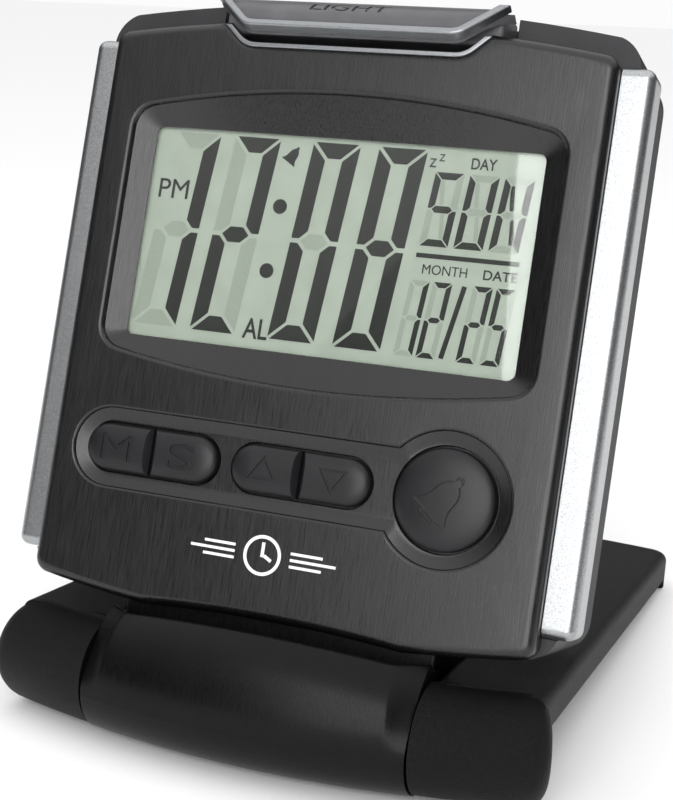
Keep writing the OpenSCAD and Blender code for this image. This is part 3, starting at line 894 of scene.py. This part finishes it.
# ---- Rear case ---------------------------------------------------------------------------------
# The back shell, moulded in black ABS with a spark-eroded texture. It holds the cells and the
# sounder, and four screws in sunk wells hold it to the middle frame.
case_abs = moulded_abs(
    "matt black ABS, spark-eroded texture", "#1c1c1e", "#262628", 0.55, (0.3, 0.3, 0.3), 0.03, 0.8
)
add_piece(
    "rear_case_shell", softened("rear_case", 0.35), millimetre, "case", "dark_abs", case_abs,
    "rear_case",
)
add_piece(
    "battery_door_panel", softened("battery_door", 0.3), millimetre, "battery_door", "dark_abs",
    case_abs, "battery_door",
)


# Grip ribs moulded across the top of the door, for a thumb to push it off.
def grip_bar(bm, x, z, width, height, near, far):
    """A closed bar with rounded ends, standing out from the door."""
    ends = pill(x, z, width, height)
    foot, top = walls(bm, ends, [(0.12, near), (0, far - 0.2), (-0.2, far)])
    flat(bm, foot)
    flat(bm, top)


door_low, door_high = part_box("battery_door")
door_middle = case_place.inverted() @ ((door_low + door_high) / 2)
door_back = door_middle.y + 0.75
grip_top, grip_pitch = door_middle.z + 8.6, 1.7
bm = bmesh.new()
for row in range(4):
    grip_bar(bm, 0, grip_top - grip_pitch * row, 16, 0.9, door_back - 0.2, door_back + 0.4)
add_piece("battery_door_grip", bm, case_place, "battery_door", "dark_abs", case_abs)

# ---- Chin --------------------------------------------------------------------------------------
# The bowed moulding at the foot of the case, in the panel's charcoal ABS. It carries the hinge pin
# between the cover's knuckles and rises in front of the panel to a rounded rim.
hinge = Vector(joints["cover_hinge"]["pos_m"])
chin_place = Matrix.Translation(hinge) @ millimetre
chin_abs = moulded_abs(
    "satin black ABS, fine tool lines", "#080808", "#0c0c0c", 0.3, (0.35, 0.5, 9), 0.01, gleam=0.14
)
bow = 99
roll, roll_front = 6.75, 3.85
chin_half = 21.2
wall_radius = 10.6
rim_turn, rim_round = 120, 0.65
# The rim is this much taller in the middle, falls off with x squared, and turns back past turn_start.
rim_lift, rim_fall = 1.14, 0.00042
turn_start, turn_back = 17.4, 0.62


def chin_section():
    """Section in the upright plane: the roll below, the wall with its rim, and the neck."""
    rim_y = (wall_radius - rim_round) * cos(radians(rim_turn))
    rim_z = (wall_radius - rim_round) * sin(radians(rim_turn))
    wall = arc(0, 0, wall_radius, 182, rim_turn, 14)
    rim = arc(rim_y, rim_z, rim_round, rim_turn, rim_turn - 150, 8)
    under = arc(-roll_front, 0, roll, 20, -178, 26)
    return wall + rim + [(-3.1, 7.6), (-1.4, 6.9)] + under


def smooth_step(value, start, end):
    t = min(max((value - start) / (end - start), 0), 1)
    return t * t * (3 - 2 * t)


def across_bow(bm, section, x):
    """A closed ring of edges: a section (y, z) turned about the upright axis of the bow."""
    axis = bow - roll_front
    turn = Matrix.Rotation(asin(x / bow), 3, "Z")
    centre = Vector((0, axis, 0))
    corners = [bm.verts.new(centre + turn @ (Vector((0, y, z)) - centre)) for y, z in section]
    return [bm.edges.new(pair) for pair in zip(corners, corners[1:] + corners[:1])]


def chin_station(x):
    """The section at a distance from the middle: the rim is arched, and turns back at its ends."""
    arched_up = rim_lift - rim_fall * x * x
    back = turn_back * max(abs(x) - turn_start, 0)
    ring_points = []
    for y, z in chin_section():
        if z > 0:
            y += back * smooth_step(z, 0, 6) * (1 if y < -1 else 0)
            z *= 1 + (arched_up - 1) * smooth_step(z, 2, 9)
        ring_points.append((y, z))
    return ring_points


bm = bmesh.new()
reach = [chin_half * i / 16 for i in range(-13, 14)]
ends = [turn_start + 0.25, turn_start + 0.9, 19.2, 20.2, chin_half, chin_half * 1.05]
stations = [-x for x in reversed(ends)] + reach + ends
loops = [across_bow(bm, chin_station(x), x) for x in stations]
for near, far in zip(loops, loops[1:]):
    bmesh.ops.bridge_loops(bm, edges=near + far)
flat(bm, loops[0])
flat(bm, loops[-1])
for side in (-1, 1):
    cut_off(bm, (side * chin_half, 0, 0), (side, 0, 0))
add_piece("chin_moulding", bm, chin_place, "case", "charcoal_abs", chin_abs, "chin")

neck_drop, neck_top, neck_back, neck_inset = 3, 9.7, 6.4, 0.8
bm = bmesh.new()
bmesh.ops.create_cube(bm, size=1)
bmesh.ops.scale(bm, verts=bm.verts, vec=(2 * chin_half - neck_inset, neck_back, neck_top - neck_drop))
bmesh.ops.translate(bm, verts=bm.verts, vec=(0, neck_back / 2, (neck_top + neck_drop) / 2))
bmesh.ops.bevel(
    bm, geom=bm.edges[:], offset=0.3, segments=3, profile=0.5, affect="EDGES", material=-1
)
bmesh.ops.rotate(bm, verts=bm.verts, matrix=Matrix.Rotation(-lean, 3, "X"))
add_piece("chin_neck", bm, chin_place, "case", "charcoal_abs", chin_abs)

# ---- Cover -------------------------------------------------------------------------------------
# The folding cover, one moulding in black ABS with a fine leather grain etched in the tool: a flat
# plate with side walls and a lip, and two knuckles at its root that turn on the hinge pin.
slope = radians(joints["cover_hinge"]["range_deg"][0]) + 1.5 * pi + lean
cover_place = Matrix.Translation(hinge) @ Matrix.Rotation(-slope, 4, "X") @ millimetre
grained, tree, shader = new_material("black ABS with etched leather grain")
cells = add_node(
    tree, "ShaderNodeTexVoronoi", {"Vector": pattern_space(tree, (0.5, 0.5, 0.5), slope)},
    feature="SMOOTH_F1",
)
wrinkle = add_node(
    tree, "ShaderNodeTexNoise",
    {"Vector": pattern_space(tree, (0.9, 0.9, 0.9), slope), "Detail": 4.0},
)
height = add_node(
    tree,
    "ShaderNodeMath",
    {0: wrinkle.outputs["Fac"], 1: 0.6, 2: cells.outputs["Distance"]},
    operation="MULTIPLY_ADD",
)
bump = add_node(
    tree, "ShaderNodeBump", {"Height": height.outputs[0], "Distance": 0.00014, "Strength": 0.9}
)
tree.links.new(bump.outputs["Normal"], shader.inputs["Normal"])
shade = add_node(
    tree,
    "ShaderNodeMix",
    {"Factor": wrinkle.outputs["Fac"], 6: srgb("#060606"), 7: srgb("#0c0c0c")},
    data_type="RGBA",
)
tree.links.new(shade.outputs[2], shader.inputs["Base Color"])
dull = add_node(
    tree, "ShaderNodeMapRange", {"Value": cells.outputs["Distance"], 1: 0.1, 2: 0.6, 3: 0.34, 4: 0.55}
)
tree.links.new(dull.outputs[0], shader.inputs["Roughness"])
shader.inputs["Specular IOR Level"].default_value = 0.16

cover_half, cover_length, cover_arch, cover_corner = 35.2, 88.8, 180, 3.5
cover_notch, notch_start, chin_gap, root_edge = 21, 80.6, 21.5, 11.2
plate_face, plate_back, skirt_foot, skirt_wall = 6.69, 4.75, 2.15, 1.45
lip_start = 82.5


def cover_outline(offset):
    """Plan of the cover as seen from above: x across, and the distance from the hinge line."""
    corner_x = cover_half - cover_corner
    centre = cover_length - cover_arch
    corner_y = centre + sqrt((cover_arch - cover_corner) ** 2 - corner_x**2)
    turn = degrees(atan2(corner_y - centre, corner_x))
    notch_turn = degrees(acos((cover_notch - offset) / (cover_arch + offset)))
    right = [(0, root_edge - offset), (chin_gap - offset, root_edge - offset)]
    right += [(chin_gap - offset, 0.5), (cover_half + offset, 0.5)]
    right += arc(corner_x, corner_y, cover_corner + offset, 0, turn, 8)
    right += arc(0, centre, cover_arch + offset, turn, notch_turn, 8)[1:]
    right += [(cover_notch - offset, notch_start + offset), (0, notch_start + offset)]
    return both_halves(right)


def lie_flat(bm):
    """Turns what was drawn in the X-Z plane so that Z becomes the cover's length."""
    bmesh.ops.rotate(bm, verts=bm.verts, matrix=Matrix.Rotation(-pi / 2, 3, "X"))


cover_edge = [(offset, depth - plate_face) for offset, depth in rounded(1.3, 6)]
bm = bmesh.new()
face, outer_foot = walls(bm, cover_outline, cover_edge + [(0, -skirt_foot - 0.3), (-0.3, -skirt_foot)])
inner_foot, ceiling = walls(bm, cover_outline, [(-skirt_wall, -skirt_foot), (-skirt_wall, -plate_back)])
flat(bm, face)
flat(bm, outer_foot, inner_foot)
flat(bm, ceiling)
lie_flat(bm)
# The lip's foot is level with the ground, so that the clock stands on it.
for vert in bm.verts:
    if vert.co.y > lip_start and vert.co.z < skirt_foot + 0.4:
        ground = (vert.co.y * sin(slope) - hinge.z * 1000) / cos(slope)
        vert.co.z = ground + (vert.co.z - skirt_foot)
add_piece("cover_plate", bm, cover_place, "folding_cover", "grained_abs", grained, "cover")


def knuckle(side):
    """A bowed barrel: its outer end well rounded, its inner end cut square beside the chin."""
    inner_x, outer_x, soft = chin_gap * 0.93, cover_half, 2.4
    stations = [(inner_x, roll)]
    stations += [(inner_x + (outer_x - soft - inner_x) * i / 8, roll) for i in range(1, 9)]
    stations += [(outer_x - soft + soft * sin(t), roll - soft + soft * cos(t))
                 for t in (pi / 2 * i / 7 for i in range(1, 8))]
    axis = bow - roll_front
    bm = bmesh.new()
    before = None
    for x, radius in stations:
        turn = asin(x / bow)
        made = bmesh.ops.create_circle(bm, cap_ends=False, radius=radius, segments=56)["verts"]
        bmesh.ops.rotate(bm, verts=made, matrix=Matrix.Rotation(pi / 2, 3, "Y"))
        bmesh.ops.translate(bm, verts=made, vec=(0, -roll_front, 0))
        bmesh.ops.rotate(
            bm, verts=made, cent=(0, axis, 0), matrix=Matrix.Rotation(side * turn, 3, "Z")
        )
        loop = [edge for edge in bm.edges if all(v in made for v in edge.verts)]
        if before:
            bmesh.ops.bridge_loops(bm, edges=before + loop)
        else:
            bmesh.ops.edgeloop_fill(bm, edges=loop)
        before = loop
    bmesh.ops.edgeloop_fill(bm, edges=before)
    cut_off(bm, (side * chin_gap, 0, 0), (-side, 0, 0))
    return bm


for name, side in (("left", -1), ("right", 1)):
    add_piece(
        f"cover_knuckle_{name}", knuckle(side), cover_place, "folding_cover", "grained_abs", grained
    )

# ---- Inner parts -------------------------------------------------------------------------------
# What the shells enclose: circuit board, sounder, cells and their contacts, and the screws.
solder_mask = moulded_abs(
    "green solder mask over copper", "#0d3a1e", "#17512b", 0.35, (1.2, 0.6, 0.5), 0.02
)
epoxy = moulded_abs("black potting epoxy", "#0b0b0c", "#141415", 0.25, (1, 1, 1), 0.04)
zinc = bright_plate("zinc-plated steel", "#a9adb1", "#c5c8cb", 0.32)
black_oxide = bright_plate("black-oxide steel", "#26272a", "#3a3b3e", 0.4)
brass = bright_plate("rolled brass sheet", "#b88d3f", "#d2a958", 0.3)
shrink_wrap = moulded_abs("printed shrink wrap", "#59606a", "#68717c", 0.25, (2, 2, 2), 0.01)
silicone = moulded_abs("grey silicone rubber", "#5a5d60", "#66696c", 0.6, (0.4, 0.4, 0.4), 0.02)
zebra = moulded_abs("striped conductive elastomer", "#4b2a30", "#8a5560", 0.6, (0.2, 4, 4), 0.01)
milky = moulded_abs("milky acrylic", "#dfe4e2", "#eef1f0", 0.3, (0.5, 0.5, 0.5), 0.01)
phosphor = moulded_abs("yellow LED phosphor", "#e6d27a", "#f3e7a4", 0.35, (0.3, 0.3, 0.3), 0.01)
for material, nodes in (
    (solder_mask, ("circuit_board",)),
    (epoxy, ("clock_chip", "light_switch")),
    (zinc, ("quartz_crystal", "battery_springs", "battery_contacts", "board_screws", "hinge_pin")),
    (black_oxide, ("case_screws",)),
    (brass, ("sounder",)),
    (shrink_wrap, ("upper_cell", "lower_cell")),
    (silicone, ("key_mat",)),
    (zebra, ("contact_strip",)),
    (milky, ("light_guide",)),
    (phosphor, ("backlight_leds",)),
):
    for node in nodes:
        paint(node, material)

# ---- Floor, light and camera -------------------------------------------------------------------
# A pale table top, a large soft light on the right, and a dim card whose reflection lies across
# the left of the display window.
paper, tree, shader = new_material("matt white card")
fibre = add_node(
    tree, "ShaderNodeTexNoise", {"Vector": pattern_space(tree, (3, 3, 3), 0), "Detail": 4.0}
)
shade = add_node(
    tree,
    "ShaderNodeMix",
    {"Factor": fibre.outputs["Fac"], 6: srgb("#fafafa"), 7: srgb("#ffffff")},
    data_type="RGBA",
)
tree.links.new(shade.outputs[2], shader.inputs["Base Color"])
shader.inputs["Roughness"].default_value = 0.9
floor_half = 30
bm = bmesh.new()
bmesh.ops.create_grid(bm, x_segments=1, y_segments=1, size=floor_half)
floor = bpy.data.objects.new("floor", bpy.data.meshes.new("floor"))
bm.to_mesh(floor.data)
bm.free()
floor.data.materials.append(paper)
bpy.context.scene.collection.objects.link(floor)

world = bpy.data.worlds.new("studio")
world.use_nodes = True
tree = world.node_tree
sky = add_node(tree, "ShaderNodeTexCoord")
depth = add_node(tree, "ShaderNodeSeparateXYZ", {0: sky.outputs["Generated"]})
glow = add_node(
    tree, "ShaderNodeMapRange", {"Value": depth.outputs["Z"], 1: 0.35, 2: 0.8, 3: 0.06, 4: 1.5}
)
rays = add_node(tree, "ShaderNodeLightPath")
strength = add_node(
    tree,
    "ShaderNodeMix",
    {"Factor": rays.outputs["Is Camera Ray"], 2: glow.outputs[0], 3: 1.0},
    data_type="FLOAT",
)
background = tree.nodes["Background"]
background.inputs["Color"].default_value = srgb("#fcfcfc")
tree.links.new(strength.outputs[0], background.inputs["Strength"])
bpy.context.scene.world = world
bpy.context.scene.view_settings.view_transform = "Standard"


def soft_light(name, place, width, height, power, roll=0.0):
    """A rectangular soft box that faces the display."""
    light = bpy.data.lights.new(name, "AREA")
    light.shape = "RECTANGLE"
    light.size, light.size_y = width, height
    light.energy = power
    holder = bpy.data.objects.new(name, light)
    spot = Vector(place)
    turn = (display - spot).to_track_quat("-Z", "Y").to_matrix().to_4x4()
    holder.matrix_world = Matrix.Translation(spot) @ turn @ Matrix.Rotation(roll, 4, "Z")
    bpy.context.scene.collection.objects.link(holder)


soft_light("key_light", (0.17, -0.93, 0.4), 0.84, 0.7, 8.0)
soft_light("window_card", (-0.41, -0.78, 0.49), 0.26, 0.5, 0.09, radians(-24.7))

view_azimuth, view_elevation, view_roll = radians(20.95), radians(13.85), radians(-2.45)
view_place = display + Vector((71.73, -180.27, 28.2)) / 1000
right = Vector((cos(view_azimuth), sin(view_azimuth), 0))
back = Vector((sin(view_azimuth) * cos(view_elevation), -cos(view_azimuth) * cos(view_elevation),
               sin(view_elevation)))
up = back.cross(right)
turned = Matrix((right, up, back)).transposed() @ Matrix.Rotation(-view_roll, 3, "Z")
camera = bpy.data.objects.new("camera", bpy.data.cameras.new("camera"))
camera.data.lens = 71.2
camera.data.clip_start = 0.01
camera.matrix_world = Matrix.Translation(view_place) @ turned.to_4x4()
bpy.context.scene.collection.objects.link(camera)
bpy.context.scene.camera = camera
